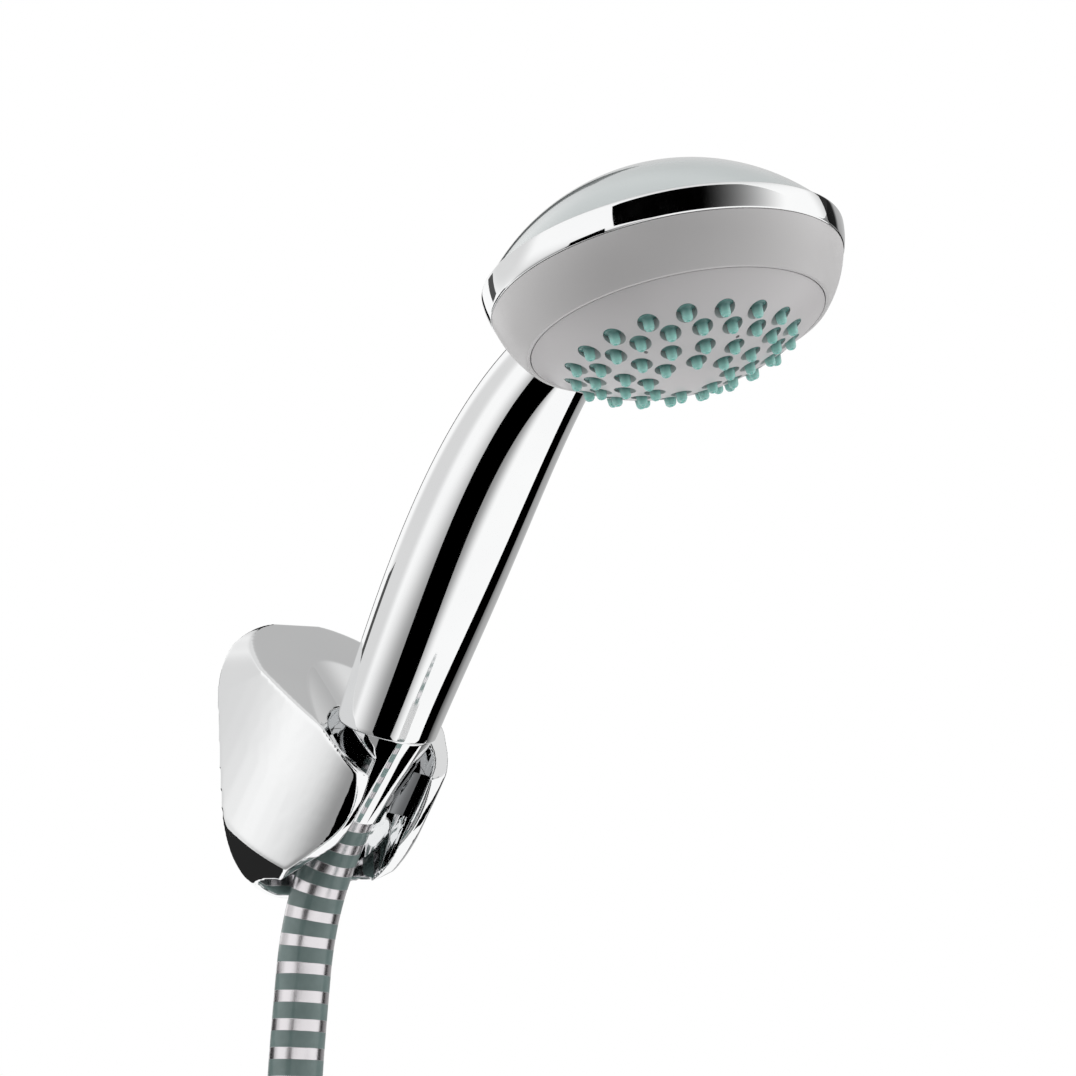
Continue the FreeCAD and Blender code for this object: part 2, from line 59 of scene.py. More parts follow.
def gridPiece(name, rows, closeRows=False, uvScale=None):
    # Rows of points, each a closed loop, skinned one to the next
    mesh = bpy.data.meshes.new(name)
    count = len(rows[0])
    points = [p * mm for row in rows for p in row]
    faces = []
    steps = len(rows) if closeRows else len(rows) - 1
    for i in range(steps):
        a, b = i * count, (i + 1) % len(rows) * count
        for j in range(count):
            k = (j + 1) % count
            faces.append((a + j, a + k, b + k, b + j))
    mesh.from_pydata(points, [], faces)
    piece = linkMesh(name, mesh)
    if uvScale:
        layer = mesh.uv_layers.new(name="along")
        for face in mesh.polygons:
            i, j = divmod(face.index, count)
            for corner, (di, dj) in zip(face.loop_indices, ((0, 0), (0, 1), (1, 1), (1, 0))):
                layer.data[corner].uv = ((j + dj) / count, uvScale[i + di])
    return piece


def tidyMesh(piece, crease=35):
    # Doubles merged, faces turned outwards, soft shading up to the crease angle
    work = bmesh.new()
    work.from_mesh(piece.data)
    bmesh.ops.remove_doubles(work, verts=work.verts, dist=mergeGap["own"])
    bmesh.ops.recalc_face_normals(work, faces=work.faces)
    work.to_mesh(piece.data)
    work.free()
    piece.data.shade_smooth()
    piece.data.set_sharp_from_angle(angle=math.radians(crease))
    return piece


def turned(name, profile, place, sides=192, crease=35):
    # Closed profile of (radius, height) turned about Z
    rows = []
    for r, z in profile:
        rows.append([place @ Vector((r * math.cos(a), r * math.sin(a), z))
                     for a in (2 * math.pi * i / sides for i in range(sides))])
    return tidyMesh(gridPiece(name, rows, closeRows=True), crease)


def arcPoints(a, b, bulge, steps):
    # Points of the arc from a to b that stands off its chord by bulge, to the right of the way
    chord = Vector((b[0] - a[0], b[1] - a[1]))
    half = chord.length / 2
    radius = (half * half + bulge * bulge) / (2 * bulge)
    side = Vector((chord.y, -chord.x)).normalized()
    middle = (Vector(a) + Vector(b)) / 2 - side * (radius - bulge)
    start = Vector(a) - middle
    sweep = start.angle_signed(Vector(b) - middle)
    out = []
    for i in range(steps + 1):
        turn = Matrix.Rotation(-sweep * i / steps, 2)
        out.append(tuple(middle + turn @ start))
    return out


def roundCorners(points, radius, steps=5):
    # Softens the corners of a closed profile; radius is a number or one for each corner
    out = []
    count = len(points)
    for i, p in enumerate(points):
        r = radius[i] if isinstance(radius, (list, tuple)) else radius
        p = Vector(p)
        before, after = Vector(points[i - 1]) - p, Vector(points[(i + 1) % count]) - p
        if r <= 0 or before.length == 0 or after.length == 0:
            out.append(tuple(p))
            continue
        reach = min(r, before.length * cornerShare, after.length * cornerShare)
        a, b = p + before.normalized() * reach, p + after.normalized() * reach
        for k in range(steps + 1):
            t = k / steps
            out.append(tuple(a * (1 - t) ** 2 + p * 2 * t * (1 - t) + b * t * t))
    return out


def copyOfNode(node, name):
    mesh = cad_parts[node].data.copy()
    mesh.name = name
    piece = linkMesh(name, mesh)
    mesh.materials.clear()
    if mesh.has_custom_normals:
        bpy.context.view_layer.objects.active = piece
        bpy.ops.mesh.customdata_custom_splitnormals_clear()
    work = bmesh.new()
    work.from_mesh(mesh)
    bmesh.ops.remove_doubles(work, verts=work.verts, dist=mergeGap["node"])
    work.to_mesh(mesh)
    work.free()
    return piece


def bakeModifiers(piece):
    # The evaluated result becomes the piece's own plain mesh
    graph = bpy.context.evaluated_depsgraph_get()
    result = bpy.data.meshes.new_from_object(piece.evaluated_get(graph))
    result.name = piece.name
    piece.modifiers.clear()
    piece.data = result
    return piece


def finishPiece(piece, body, material, nodes=()):
    piece.data.materials.clear()
    piece.data.materials.append(material)
    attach(piece, body)
    if nodes:
        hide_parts(*nodes)
    return piece


def newMaterial(name):
    material = bpy.data.materials.new(name)
    material.use_nodes = True
    tree = material.node_tree
    return material, tree, tree.nodes["Principled BSDF"]


def addNode(tree, kind, inputs=(), **settings):
    node = tree.nodes.new(kind)
    for key, value in settings.items():
        setattr(node, key, value)
    for key, value in dict(inputs).items():
        socket = node.inputs[key]
        if isinstance(value, bpy.types.NodeSocket):
            tree.links.new(value, socket)
        else:
            socket.default_value = value
    return node


def fineNoise(tree, scale, detail=4):
    place = addNode(tree, "ShaderNodeTexCoord")
    return addNode(tree, "ShaderNodeTexNoise", {"Vector": place.outputs["Object"], "Scale": scale,
                                                "Detail": detail})


def spread(tree, value, low, high, fromLow=0.3, fromHigh=0.7):
    node = addNode(tree, "ShaderNodeMapRange", {"Value": value, "From Min": fromLow, "From Max": fromHigh,
                                                "To Min": low, "To Max": high})
    return node.outputs["Result"]


def surfaceRelief(tree, shader, scale, strength, distance):
    noise = fineNoise(tree, scale, 3)
    bump = addNode(tree, "ShaderNodeBump", {"Height": noise.outputs["Fac"], "Strength": strength,
                                            "Distance": distance})
    tree.links.new(bump.outputs["Normal"], shader.inputs["Normal"])


def blend(tree, factor, first, second):
    # Mixes two colours, each a plain one or a socket
    mix = addNode(tree, "ShaderNodeMix", {"Factor": factor}, data_type="RGBA")
    for key, colour in (("A", first), ("B", second)):
        if isinstance(colour, bpy.types.NodeSocket):
            tree.links.new(colour, mix.inputs[key])
        else:
            mix.inputs[key].default_value = (*colour, 1)
    return mix.outputs["Result"]


def softStep(tree, value, low, high, start, end):
    # Goes smoothly from start to end while the value goes from low to high
    node = addNode(tree, "ShaderNodeMapRange", {"Value": value, "From Min": low, "From Max": high,
                                                "To Min": start, "To Max": end},
                   interpolation_type="SMOOTHSTEP")
    return node.outputs[0]


def mottled(tree, shader, dark, light, scale):
    # Base colour that drifts between two close shades
    noise = fineNoise(tree, scale, 2)
    mix = blend(tree, spread(tree, noise.outputs["Fac"], 0, 1), dark, light)
    tree.links.new(mix, shader.inputs["Base Color"])


chromeLook = {"mottle": 35, "grain": 260, "rough": (0.015, 0.045), "relief": 90, "reliefDepth": 0.0002}


def chromePlate(name, dark, light, relief=0.012):
    look = chromeLook
    material, tree, shader = newMaterial(name)
    mottled(tree, shader, dark, light, look["mottle"])
    shader.inputs["Metallic"].default_value = 1.0
    noise = fineNoise(tree, look["grain"])
    tree.links.new(spread(tree, noise.outputs["Fac"], *look["rough"]), shader.inputs["Roughness"])
    surfaceRelief(tree, shader, look["relief"], relief, look["reliefDepth"])
    return material


plasticLook = {"mottle": 24, "grain": 420, "roughShare": (0.85, 1.2), "coatRough": 0.04,
               "relief": 1500, "reliefDepth": 0.0001}


def mouldedPlastic(name, dark, light, rough, relief=0.05, coat=0.0):
    look = plasticLook
    material, tree, shader = newMaterial(name)
    mottled(tree, shader, dark, light, look["mottle"])
    noise = fineNoise(tree, look["grain"])
    low, high = look["roughShare"]
    tree.links.new(spread(tree, noise.outputs["Fac"], rough * low, rough * high),
                   shader.inputs["Roughness"])
    shader.inputs["Coat Weight"].default_value = coat
    shader.inputs["Coat Roughness"].default_value = look["coatRough"]
    surfaceRelief(tree, shader, look["relief"], relief, look["reliefDepth"])
    return material


siliconeLook = {
    "pale": ((0.36, 0.69, 0.63), (0.43, 0.75, 0.69)),
    "paintedCupShade": (0.14, 0.30, 0.28),  # painted shade down in the cups
    "grain": 120,
    "rough": 0.22,
    "glow": 0.5,  # how much light passes under the surface
    "glowRadius": (0.7, 1.0, 0.95),
    "glowScale": 0.0015,
    "relief": (2200, 0.06, 0.0001),
}


def softSilicone(name):
    look = siliconeLook
    material, tree, shader = newMaterial(name)
    noise = fineNoise(tree, look["grain"], 2)
    pale = blend(tree, spread(tree, noise.outputs["Fac"], 0, 1), *look["pale"])
    # Painted shade: the silicone turns towards the darker cup colour deeper in its cup, by the depth
    # attribute
    depth = addNode(tree, "ShaderNodeAttribute", attribute_name="depth")
    tree.links.new(blend(tree, depth.outputs["Fac"], pale, look["paintedCupShade"]), shader.inputs["Base Color"])
    for key, value in (("Roughness", look["rough"]), ("Subsurface Weight", look["glow"]),
                       ("Subsurface Radius", look["glowRadius"]), ("Subsurface Scale", look["glowScale"])):
        shader.inputs[key].default_value = value
    surfaceRelief(tree, shader, *look["relief"])
    return material


brassLook = {"dark": (0.62, 0.46, 0.20), "light": (0.72, 0.56, 0.28), "mottle": 80, "grain": 600,
             "rough": (0.22, 0.38), "relief": (900, 0.1, 0.0001)}


def turnedBrass(name):
    look = brassLook
    material, tree, shader = newMaterial(name)
    mottled(tree, shader, look["dark"], look["light"], look["mottle"])
    shader.inputs["Metallic"].default_value = 1.0
    noise = fineNoise(tree, look["grain"])
    tree.links.new(spread(tree, noise.outputs["Fac"], *look["rough"]), shader.inputs["Roughness"])
    surfaceRelief(tree, shader, *look["relief"])
    return material


hoseLook = {
    "pitch": 7.15,  # mm from one silver band to the next
    "silver": 3.0,  # mm of it that is silver
    "tilt": 0.35,  # mm that a band climbs across the hose
    "blur": 0.06,  # mm, half the width of a band's soft edge
    "silverColour": (0.80, 0.77, 0.79),
    "greys": ((0.135, 0.200, 0.192), (0.170, 0.240, 0.230)),
    "grain": 300,
    "rough": (0.42, 0.24),  # on the grey, on the silver
    "coat": (0.5, 0.06),  # weight and roughness of the clear skin
    "relief": (0.25, 0.0003),
}


def bandedHose(name):
    # Silver bands under a clear skin, read from the hose's own UV map: U round it, V along it in mm
    material, tree, shader = newMaterial(name)
    uv = addNode(tree, "ShaderNodeUVMap", uv_map="along")
    parts = addNode(tree, "ShaderNodeSeparateXYZ", {"Vector": uv.outputs["UV"]})
    turn = addNode(tree, "ShaderNodeMath", {0: parts.outputs["X"], 1: 2 * math.pi}, operation="MULTIPLY")
    wave = addNode(tree, "ShaderNodeMath", {0: turn.outputs[0]}, operation="SINE")
    lift = addNode(tree, "ShaderNodeMath", {0: wave.outputs[0], 1: hoseLook["tilt"], 2: parts.outputs["Y"]},
                   operation="MULTIPLY_ADD")
    look = hoseLook
    phase = addNode(tree, "ShaderNodeMath", {0: lift.outputs[0], 1: look["pitch"]},
                    operation="FLOORED_MODULO")
    edge = addNode(tree, "ShaderNodeMath", {0: phase.outputs[0], 1: look["pitch"] / 2},
                   operation="SUBTRACT")
    away = addNode(tree, "ShaderNodeMath", {0: edge.outputs[0]}, operation="ABSOLUTE")
    half = look["silver"] / 2
    band = addNode(tree, "ShaderNodeMapRange", {"Value": away.outputs[0], "From Min": half - look["blur"],
                                                "From Max": half + look["blur"], "To Min": 1, "To Max": 0})
    noise = fineNoise(tree, look["grain"])
    grey = blend(tree, spread(tree, noise.outputs["Fac"], 0, 1), *look["greys"])
    tree.links.new(blend(tree, band.outputs[0], grey, look["silverColour"]), shader.inputs["Base Color"])
    tree.links.new(band.outputs[0], shader.inputs["Metallic"])
    tree.links.new(spread(tree, band.outputs[0], *look["rough"], 0, 1), shader.inputs["Roughness"])
    shader.inputs["Coat Weight"].default_value, shader.inputs["Coat Roughness"].default_value = look["coat"]
    strength, distance = look["relief"]
    bump = addNode(tree, "ShaderNodeBump", {"Height": band.outputs[0], "Strength": strength,
                                            "Distance": distance})
    tree.links.new(bump.outputs["Normal"], shader.inputs["Normal"])
    return material


chrome = chromePlate("chromePlate", (0.92, 0.925, 0.93), (0.955, 0.96, 0.96))
domeGloss = mouldedPlastic("domeGloss", (0.49, 0.53, 0.53), (0.53, 0.57, 0.57), 0.10, 0.01, 1.0)
shellSatin = mouldedPlastic("shellSatin", (0.60, 0.59, 0.59), (0.64, 0.63, 0.63), 0.36, 0.04)
discSatin = mouldedPlastic("discSatin", (0.60, 0.585, 0.59), (0.63, 0.615, 0.62), 0.33, 0.04)
silicone = softSilicone("nozzleSilicone")
hoseSkin = bandedHose("hoseSkin")
brass = turnedBrass("hoseBrass")
sealRubber = mouldedPlastic("sealRubber", (0.02, 0.02, 0.02), (0.035, 0.035, 0.035), 0.6, 0.2)
innerPlastic = mouldedPlastic("innerPlastic", (0.55, 0.55, 0.53), (0.62, 0.62, 0.60), 0.45, 0.1)
linerPlate = chromePlate("linerPlate", (0.40, 0.41, 0.42), (0.46, 0.47, 0.48))
strapPlastic = mouldedPlastic("strapPlastic", (0.55, 0.55, 0.55), (0.62, 0.62, 0.62), 0.4, 0.15)
print("materials ready")


view = {
    "place": (-661.5, -883.3, -41.0),
    "azimuth": -40.1,
    "elevation": -5.1,
    "lens": 142.8,
    "floorZ": -1200.0,
    "floorHalf": 4.0,  # metres
    "floorDark": (0.90, 0.90, 0.90),
    "floorLight": (0.93, 0.93, 0.93),
}


light = {
    "darkAzimuth": -45.0,  # the plastics are darkest towards here, and lit from both sides
    "darkElevation": -15.0,
    "base": 1.75,
    "swing": -1.80,
    "least": 0.03,
    "most": 1.55,
    "above": 0.10,
}


def placeCamera():
    camera = bpy.data.objects.new("camera", bpy.data.cameras.new("camera"))
    camera.data.lens = view["lens"]
    camera.data.sensor_width = 36
    camera.data.clip_end = 100
    camera.location = Vector(view["place"]) * mm
    camera.rotation_euler = (math.radians(90 - view["elevation"]), 0, math.radians(view["azimuth"]))
    scene.collection.objects.link(camera)
    scene.camera = camera


def aim(azimuth, elevation):
    # Unit vector, azimuth counted from -Y towards +X
    a, e = math.radians(azimuth), math.radians(elevation)
    return Vector((math.sin(a) * math.cos(e), -math.cos(a) * math.cos(e), math.sin(e)))


def studioCard(name, centre, normal, along, width, length, shade, fade=None):
    # Flat card that the plating mirrors; fade darkens or lightens it from one long edge to the other
    across = along.cross(normal).normalized()
    along = normal.cross(across).normalized()
    mesh = bpy.data.meshes.new(name)
    corners = [centre + across * (width / 2 * i) + along * (length / 2 * j)
               for i, j in ((-1, -1), (1, -1), (1, 1), (-1, 1))]
    mesh.from_pydata([c * mm for c in corners], [], [(0, 1, 2, 3)])
    layer = mesh.uv_layers.new(name="card")
    for corner, uv in enumerate(((0, 0), (1, 0), (1, 1), (0, 1))):
        layer.data[corner].uv = uv
    material = bpy.data.materials.new(name)
    material.use_nodes = True
    tree = material.node_tree
    tree.nodes.clear()
    glow = addNode(tree, "ShaderNodeEmission", {"Strength": 1.0})
    clear = addNode(tree, "ShaderNodeBsdfTransparent")
    uv = addNode(tree, "ShaderNodeUVMap", uv_map="card")
    parts = addNode(tree, "ShaderNodeSeparateXYZ", {"Vector": uv.outputs["UV"]})
    low, high = fade or (-1.0, -0.5)
    cover = softStep(tree, parts.outputs["X"], low, high, 0, 1)
    glow.inputs["Color"].default_value = (shade, shade, shade, 1)
    mix = addNode(tree, "ShaderNodeMixShader", {0: cover, 1: clear.outputs[0], 2: glow.outputs[0]})
    addNode(tree, "ShaderNodeOutputMaterial", {"Surface": mix.outputs[0]})
    mesh.materials.append(material)
    card = linkMesh(name, mesh)
    card.visible_camera = False
    card.visible_diffuse = False
    card.visible_shadow = False


cardsUp = 65.5  # where the handle's cards centre, up the nut's axis
handleCards = {
    # Angle round the handle from the camera's side, distance, width, slide and length along it, slant, fade
    "darkFront": (0, 600, 325, -300, 1100, 48, None),
    "darkRight": (105, 250, 96, -105, 420, -38, None),
    "greyRight": (146, 500, 620, -210, 900, 0, (-0.15, 1.25)),
    "darkBehind": (-163, 600, 90, -250, 700, 0, None),
}
roundCards = {
    # Centre they stand round, azimuth, elevation, distance, width, height, shade, fade
    "darkOverhead": (head["centre"], -13, 15, 500, 1428, 400, 0.0, (0.0, 0.52)),
    "darkSide": (head["centre"], 93, 15, 700, 240, 330, 0.03, (0.0, 0.35)),
    "darkBehindRing": (head["centre"], -172, -4, 500, 80, 110, 0.08, None),
    "darkBehindLow": ((0, -20, -165), -166, 0, 300, 230, 270, 0.02, None),  # for the holder and the hose
}
mirrored = {
    # What the plating mirrors is white, and darker towards these: azimuth, elevation,
    # cosines where the change starts and ends, and how bright it still is there
    "zones": ((118, 22, 0.72, 0.90, 0.66), (0, 90, 0.40, 0.75, 0.74), (-152, 8, 0.86, 0.97, 0.72)),
    "lowLeft": (-92, -30, 0.5, 0.8),  # a zone that deepens downwards
    "lowLeftDepth": (-0.588, -0.07, 0.70),
}


def buildCards():
    seatAxis = (seatPlace.to_3x3() @ Vector((0, 0, 1))).normalized()
    back = aim(view["azimuth"], view["elevation"])
    facing = (back - seatAxis * back.dot(seatAxis)).normalized()
    rightward = seatAxis.cross(facing)
    grip = seatPlace @ Vector((0, 0, cardsUp))

    def beside(angle, distance):
        a = math.radians(angle)
        return facing * (math.cos(a) * distance) + rightward * (math.sin(a) * distance)

    for name, (angle, distance, width, slide, length, slant, fade) in handleCards.items():
        away = beside(angle, distance)
        along = Matrix.Rotation(math.radians(slant), 3, away) @ seatAxis
        studioCard(name, grip + away + seatAxis * slide, -away.normalized(), along, width, length,
                   0.0, fade)
    for name, (centre, azimuth, elevation, distance, width, height, shade, fade) in roundCards.items():
        toCard = aim(azimuth, elevation)
        studioCard(name, Vector(centre) + toCard * distance, -toCard, Vector((0, 0, 1)), width, height,
                   shade, fade)


def buildFloor():
    half = view["floorHalf"]
    floorMesh = bpy.data.meshes.new("floor")
    floorMesh.from_pydata([(x * half, y * half, view["floorZ"] * mm)
                           for x, y in ((-1, -1), (1, -1), (1, 1), (-1, 1))], [], [(0, 1, 2, 3)])
    floor = linkMesh("floor", floorMesh)
    floorMesh.materials.append(mouldedPlastic("floorPale", view["floorDark"], view["floorLight"], 0.7, 0.0))
    floor.visible_diffuse = False
    floor.visible_glossy = False


def buildWorld():
    world = bpy.data.worlds.new("studio")
    scene.world = world
    world.use_nodes = True
    tree = world.node_tree
    tree.nodes.clear()
    place = addNode(tree, "ShaderNodeTexCoord")

    def toward(direction):
        return addNode(tree, "ShaderNodeVectorMath", {0: place.outputs["Generated"], 1: direction},
                       operation="DOT_PRODUCT").outputs["Value"]

    def times(first, second, added=0.0):
        return addNode(tree, "ShaderNodeMath", {0: first, 1: second, 2: added},
                       operation="MULTIPLY_ADD").outputs[0]

    azimuth, elevation, low, high = mirrored["lowLeft"]
    where = softStep(tree, toward(aim(azimuth, elevation)), low, high, 0.0, -1.0)
    low, high, most = mirrored["lowLeftDepth"]
    depth = softStep(tree, toward(Vector((0, 0, 1))), low, high, most, 0.0)
    bright = times(where, depth, 1.0)
    for azimuth, elevation, low, high, least in mirrored["zones"]:
        bright = times(bright, softStep(tree, toward(aim(azimuth, elevation)), low, high, 1.0, least))
    studio = addNode(tree, "ShaderNodeBackground", {"Color": (1, 1, 1, 1), "Strength": bright})
    # What lights the plastics
    darkSide = toward(aim(light["darkAzimuth"], light["darkElevation"]))
    side = times(darkSide, light["swing"], light["base"])
    kept = addNode(tree, "ShaderNodeClamp", {"Value": side, "Min": light["least"], "Max": light["most"]})
    above = addNode(tree, "ShaderNodeMath", {0: toward(Vector((0, 0, 1))), 1: 0.0}, operation="MAXIMUM")
    glow = times(above.outputs[0], light["above"], kept.outputs[0])
    soft = addNode(tree, "ShaderNodeBackground", {"Color": (1, 1, 1, 1), "Strength": glow})
    plain = addNode(tree, "ShaderNodeBackground", {"Color": (1, 1, 1, 1), "Strength": 1.0})
    ray = addNode(tree, "ShaderNodeLightPath")
    lit = addNode(tree, "ShaderNodeMixShader", {0: ray.outputs["Is Diffuse Ray"], 1: studio.outputs[0],
                                                2: soft.outputs[0]})
    mix = addNode(tree, "ShaderNodeMixShader", {0: ray.outputs["Is Camera Ray"], 1: lit.outputs[0],
                                                2: plain.outputs[0]})
    addNode(tree, "ShaderNodeOutputWorld", {"Surface": mix.outputs[0]})
    scene.view_settings.view_transform = "Standard"


placeCamera()
buildCards()
buildFloor()
buildWorld()
print("camera and studio ready")


hoseSize = {
    "radius": 7.0,
    "topUp": 1.1,  # where it starts, up the nut's axis
    "firstRun": 13.5,
    "coilRadius": 74.0,
    "coilCentreZ": -164.0,
    "turnGap": 14.8,
    "wallGap": 1.8,
    "tail": 56.0,
    "tailSteps": (0.35, 0.7, 1.0),
    "turns": 2.25,
    "shiftFrom": 0.08,  # turn at which the hose starts to move across the coil
    "shiftTurns": 2.0,
    "pointsPerTurn": 16,
    "pointsPerSpan": 8,
    "sides": 48,
    "crease": 50,
}
# Corners from the nut down to the coil
hoseRoute = [(-1.3, -11.9, -34.2), (-2.9, -9.4, -47.5), (-4.3, -9.3, -61.5), (-5.9, -9.0, -80.0),
             (-7.4, -8.8, -110.0)]


def hosePoints():
    size = hoseSize
    up = size["topUp"]
    points = [seatPlace @ Vector((0, 0, up)), seatPlace @ Vector((0, 0, up - size["firstRun"]))]
    points += [Vector(p) for p in hoseRoute]
    centreY = -size["radius"] - size["wallGap"] - size["coilRadius"]
    each = size["pointsPerTurn"]
    total = int(size["turns"] * each)
    # control points stand a little outside the turns, because the spline cuts inside them
    reach = size["coilRadius"] / ((1 + math.cos(2 * math.pi / each)) / 2) ** 0.5
    for i in range(total + 1):
        angle = 2 * math.pi * i / each
        share = min(max((i / each - size["shiftFrom"]) / size["shiftTurns"], 0), 1)
        x = -size["turnGap"] / 2 + size["turnGap"] * share
        points.append(Vector((x, centreY + reach * math.cos(angle),
                              size["coilCentreZ"] - reach * math.sin(angle))))
    points[-1].y = centreY
    for step in size["tailSteps"]:
        points.append(Vector((size["turnGap"] / 2, centreY - size["tail"] * step,
                              size["coilCentreZ"] - size["coilRadius"])))
    return points


def splineLine(points, perPoint):
    # Points of the smooth line that the route controls
    curve = bpy.data.curves.new("hoseLine", "CURVE")
    curve.dimensions = "3D"
    curve.resolution_u = perPoint
    spline = curve.splines.new("NURBS")
    spline.points.add(len(points) - 1)
    for slot, p in zip(spline.points, points):
        slot.co = (*(p * mm), 1)
    spline.order_u = 3
    spline.use_endpoint_u = True
    holder = bpy.data.objects.new("hoseLine", curve)
    scene.collection.objects.link(holder)
    graph = bpy.context.evaluated_depsgraph_get()
    line = bpy.data.meshes.new_from_object(holder.evaluated_get(graph))
    out = [v.co / mm for v in line.vertices]
    bpy.data.objects.remove(holder)
    bpy.data.meshes.remove(line)
    return out


def buildHose():
    size = hoseSize
    points = splineLine(hosePoints(), size["pointsPerSpan"])
    rows, along = [], []
    travelled = 0.0
    sideways = Vector((1, 0, 0))
    for i, p in enumerate(points):
        ahead = (points[min(i + 1, len(points) - 1)] - points[max(i - 1, 0)]).normalized()
        sideways = (sideways - ahead * sideways.dot(ahead)).normalized()
        other = ahead.cross(sideways)
        if i:
            travelled += (p - points[i - 1]).length
        along.append(travelled)
        rows.append([p + (sideways * math.cos(a) + other * math.sin(a)) * size["radius"]
                     for a in (2 * math.pi * j / size["sides"] for j in range(size["sides"]))])
    hose = gridPiece("hosePiece", rows, uvScale=along)
    # Both ends are closed flat inside their fittings
    work = bmesh.new()
    work.from_mesh(hose.data)
    bmesh.ops.holes_fill(work, edges=[e for e in work.edges if e.is_boundary], sides=0)
    bmesh.ops.recalc_face_normals(work, faces=work.faces)
    work.to_mesh(hose.data)
    work.free()
    hose.data.shade_smooth()
    hose.data.set_sharp_from_angle(angle=math.radians(size["crease"]))
    finishPiece(hose, "hose_line", hoseSkin, ("hose", "hose_coil", "hose_tail"))
    return hose, [tuple(p * mm for p in q) for q in points], travelled


hose, hosePath, hoseLength = buildHose()
print("hose ready, %.3f m" % (hoseLength * mm))


headSides = 256  # round the head's turned pieces
ringSize = {"frontR": 42.3, "rearR": 43.4, "height": 6.0, "bulge": 0.25, "wall": 2.9, "edge": 0.35,
            "innerEdge": 0.1, "steps": 8, "crease": 25}
domeSize = {"radius": 42.5, "height": 21.5, "wall": 2.0, "gap": 0.1, "edge": 0.5, "steps": (48, 24)}
shellSize = {"frontR": 36.1, "height": 11.6, "bulge": 0.82, "lip": 0.9, "gap": 0.15, "edge": 0.3,
             "inset": 0.2, "topGap": 0.1, "topEdge": 0.2, "wall": 2.0, "ledge": 2.4, "lipUp": 8.1,
             "steps": 24}
discSize = {"height": 12.6, "crease": 32}


def buildRing():
    s = ringSize
    inner = s["rearR"] - s["wall"]
    outside = arcPoints((s["frontR"], 0), (s["rearR"], s["height"]), s["bulge"], s["steps"])
    profile = [(inner, 0)] + outside + [(inner, s["height"])]
    soft = [s["innerEdge"], s["edge"]] + [0] * (len(outside) - 2) + [s["edge"], s["innerEdge"]]
    ring = turned("headRing", roundCorners(profile, soft), headPlace, headSides, s["crease"])
    return finishPiece(ring, "handset", chrome, ())


def capPoints(baseR, height, base, steps):
    ball = (baseR ** 2 + height ** 2) / (2 * height)
    out = []
    for i in range(steps + 1):
        a = math.asin(baseR / ball) * (1 - i / steps)
        out.append((ball * math.sin(a), base + ball * math.cos(a) - (ball - height)))
    return out


def buildDome():
    s = domeSize
    base = ringSize["height"] + s["gap"]
    outerSteps, innerSteps = s["steps"]
    outer = capPoints(s["radius"], s["height"], base, outerSteps)
    inner = capPoints(s["radius"] - s["wall"], s["height"] - s["wall"], base, innerSteps)
    inner.reverse()
    profile = outer[:-1] + [(axisR, outer[-1][1]), (axisR, inner[0][1])] + inner[1:]
    soft = [s["edge"]] + [0] * (len(profile) - 1)
    dome = turned("rearDome", roundCorners(profile, soft), headPlace, headSides)
    return finishPiece(dome, "handset", domeGloss, ("rear_dome",))


def buildFrontShell():
    s = shellSize
    top = (ringSize["frontR"] - s["inset"], -s["topGap"])
    low = (s["frontR"], -s["height"])
    outside = arcPoints(low, top, s["bulge"], s["steps"])
    lipR = s["frontR"] - s["lip"]
    wallR = top[0] - s["wall"]
    profile = outside + [(wallR, -s["topGap"]), (wallR, -s["ledge"]), (lipR, -s["lipUp"]),
                         (lipR, -s["height"])]
    soft = [s["edge"]] + [0] * (len(outside) - 2) + [s["topEdge"], 0, 0, 0, s["edge"]]
    shell = turned("frontShell", roundCorners(profile, soft), headPlace, headSides)
    return finishPiece(shell, "handset", shellSatin, ("front_shell",))


buildRing()
buildDome()
buildFrontShell()
print("head shells ready")


handleSize = {
    # centre line in the plane X = 0 and the radius along it
    "line": [(-34.6, 0.0), (-43.2, 14.6), (-54.0, 31.6), (-66.2, 49.6), (-78.4, 66.4), (-90.4, 80.4),
             (-101.4, 90.4), (-111.5, 97.4)],
    "radii": [12.5, 13.1, 13.9, 14.4, 14.0, 12.9, 11.4, 9.6],
    "endUp": 23.8,
    "endSkew": 16.0,
    "mouthR": 11.85,
    "mouthDepth": 8.0,
    "lipRise": 0.4,
    "lipEdge": 0.3,
    "edge": 0.45,
    "rings": 120,
    "sides": 160,
    "crease": 40,
    "fitDegree": 5,
    "endRange": (-12.0, 20.0),  # where along the bar its slanting end is looked for
    "halvings": 40,
}


